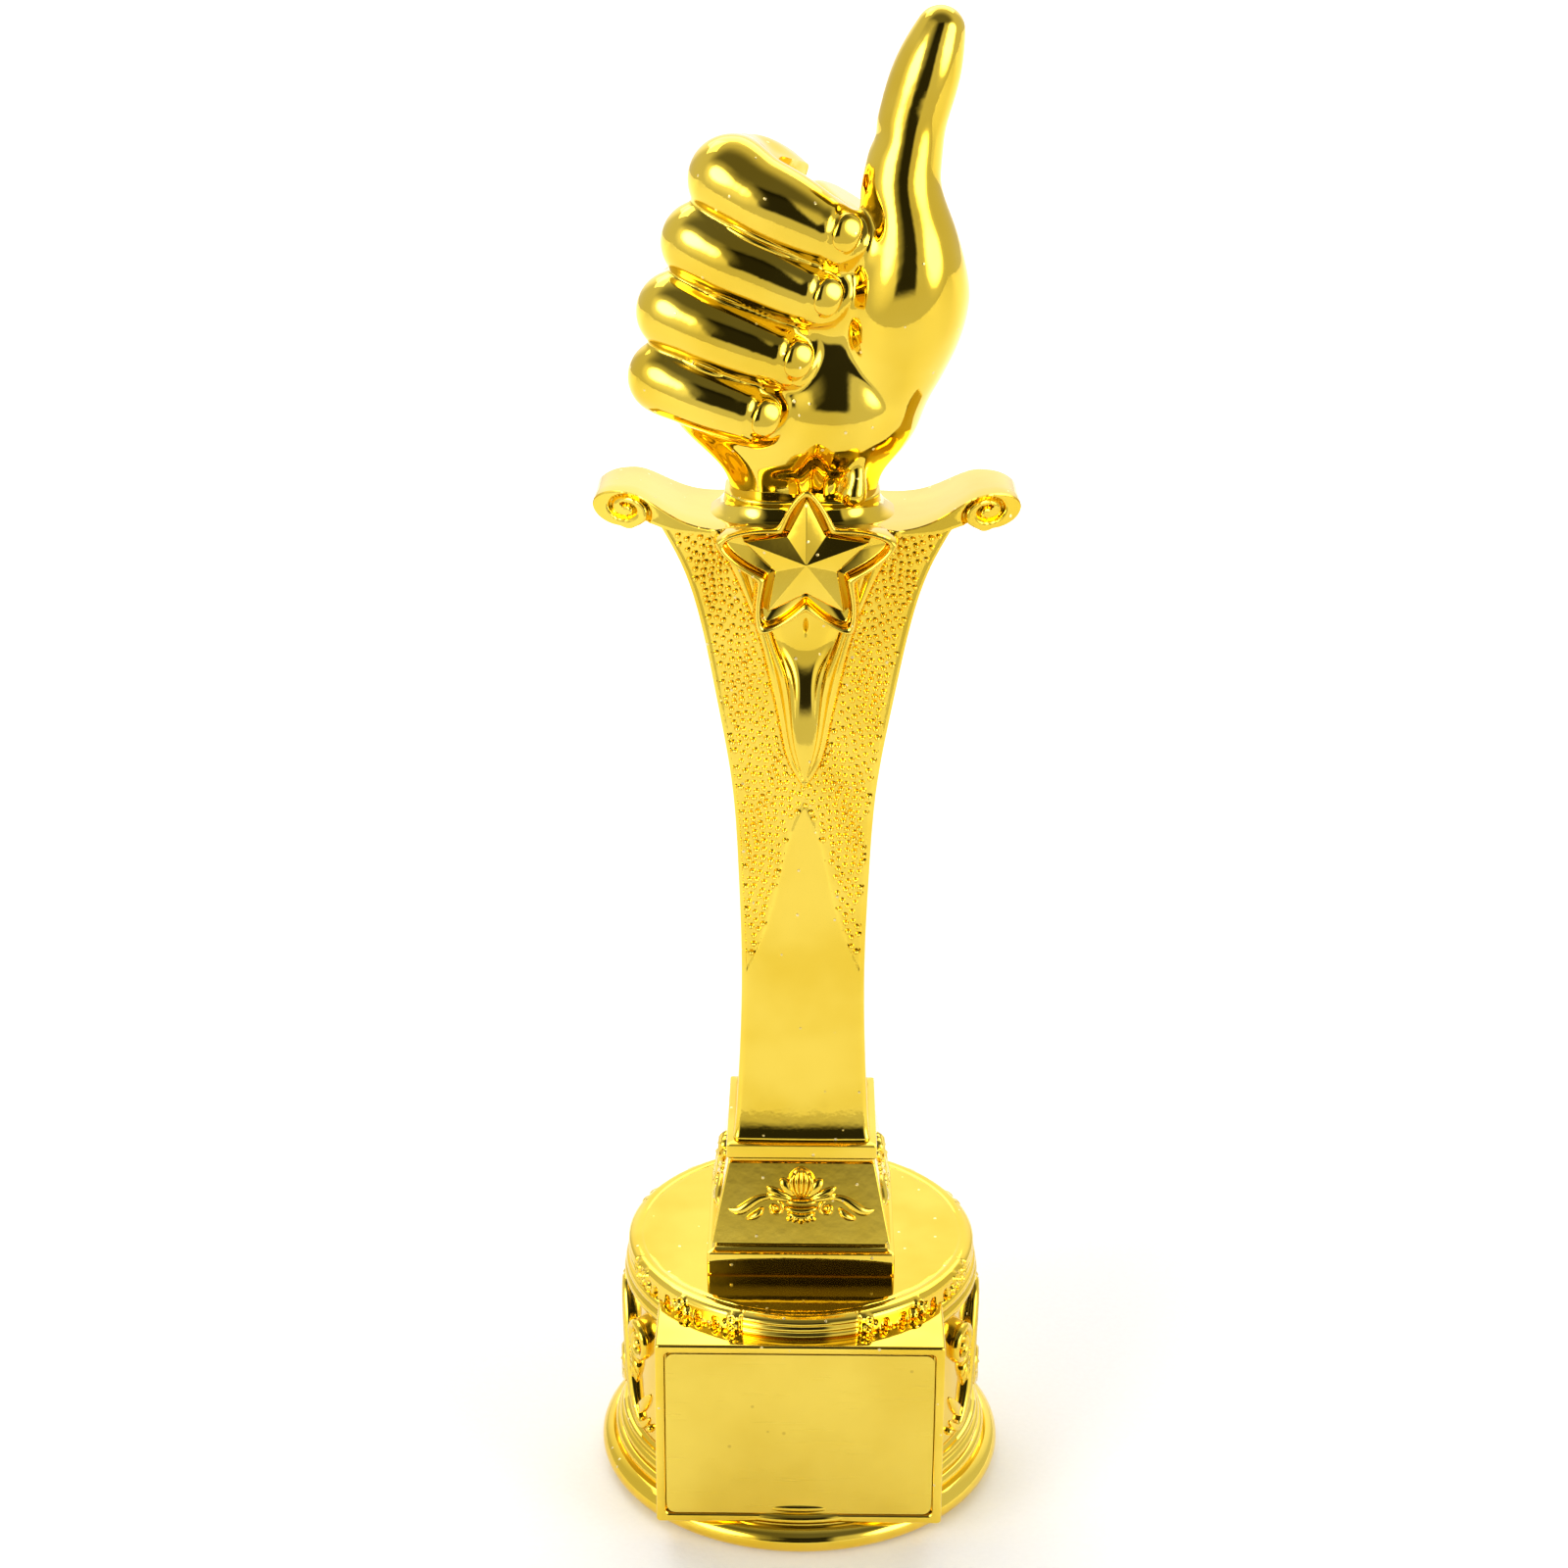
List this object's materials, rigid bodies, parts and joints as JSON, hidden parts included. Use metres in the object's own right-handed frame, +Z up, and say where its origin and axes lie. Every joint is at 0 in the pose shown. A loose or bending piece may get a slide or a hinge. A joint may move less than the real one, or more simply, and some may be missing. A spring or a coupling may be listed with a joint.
{
  "type": "star trophy",
  "caption": "Gold award trophy: a thumbs-up hand on a flared column with a star, winged collar, pedestal and round plinth with a blank plaque.",
  "frame": {"origin": "on the ground, at the middle of the plinth's round flange", "axes": "+Z up through the thumb, -Y out of the plaque's face, +X to the right seen from the front"},
  "size_m": [0.08, 0.08, 0.2855],
  "materials": {
    "gold_plated_plastic": "mirror-bright vacuum-metallised yellow gold over moulded plastic",
    "gold_plate": "bright gold sheet, finely brushed",
    "felt": "short-pile green felt",
    "black_plastic": "black moulded plastic",
    "zinc_steel": "bright zinc-plated steel",
    "iron": "rough cast iron",
    "foam_tape": "white foam adhesive tape"
  },
  "bodies": {
    "root": {"felt_pad": "felt", "base_cover": "black_plastic", "cover_screws": "zinc_steel", "ballast_disc": "iron", "rod_washer": "zinc_steel", "lower_nut": "zinc_steel", "tie_rod": "zinc_steel", "spacer_tube": "black_plastic", "plinth_shell": "gold_plated_plastic", "nameplate_tape": "foam_tape", "nameplate": "gold_plate", "pedestal_shell": "gold_plated_plastic", "column_front_shell": "gold_plated_plastic", "column_rear_shell": "gold_plated_plastic", "locating_pins": "black_plastic", "collar": "gold_plated_plastic", "front_cartouche": "gold_plated_plastic", "star": "gold_plated_plastic", "hand_front_shell": "gold_plated_plastic", "hand_rear_shell": "gold_plated_plastic", "hand_plug": "black_plastic", "upper_nut": "zinc_steel"}
  },
  "joints": []
}
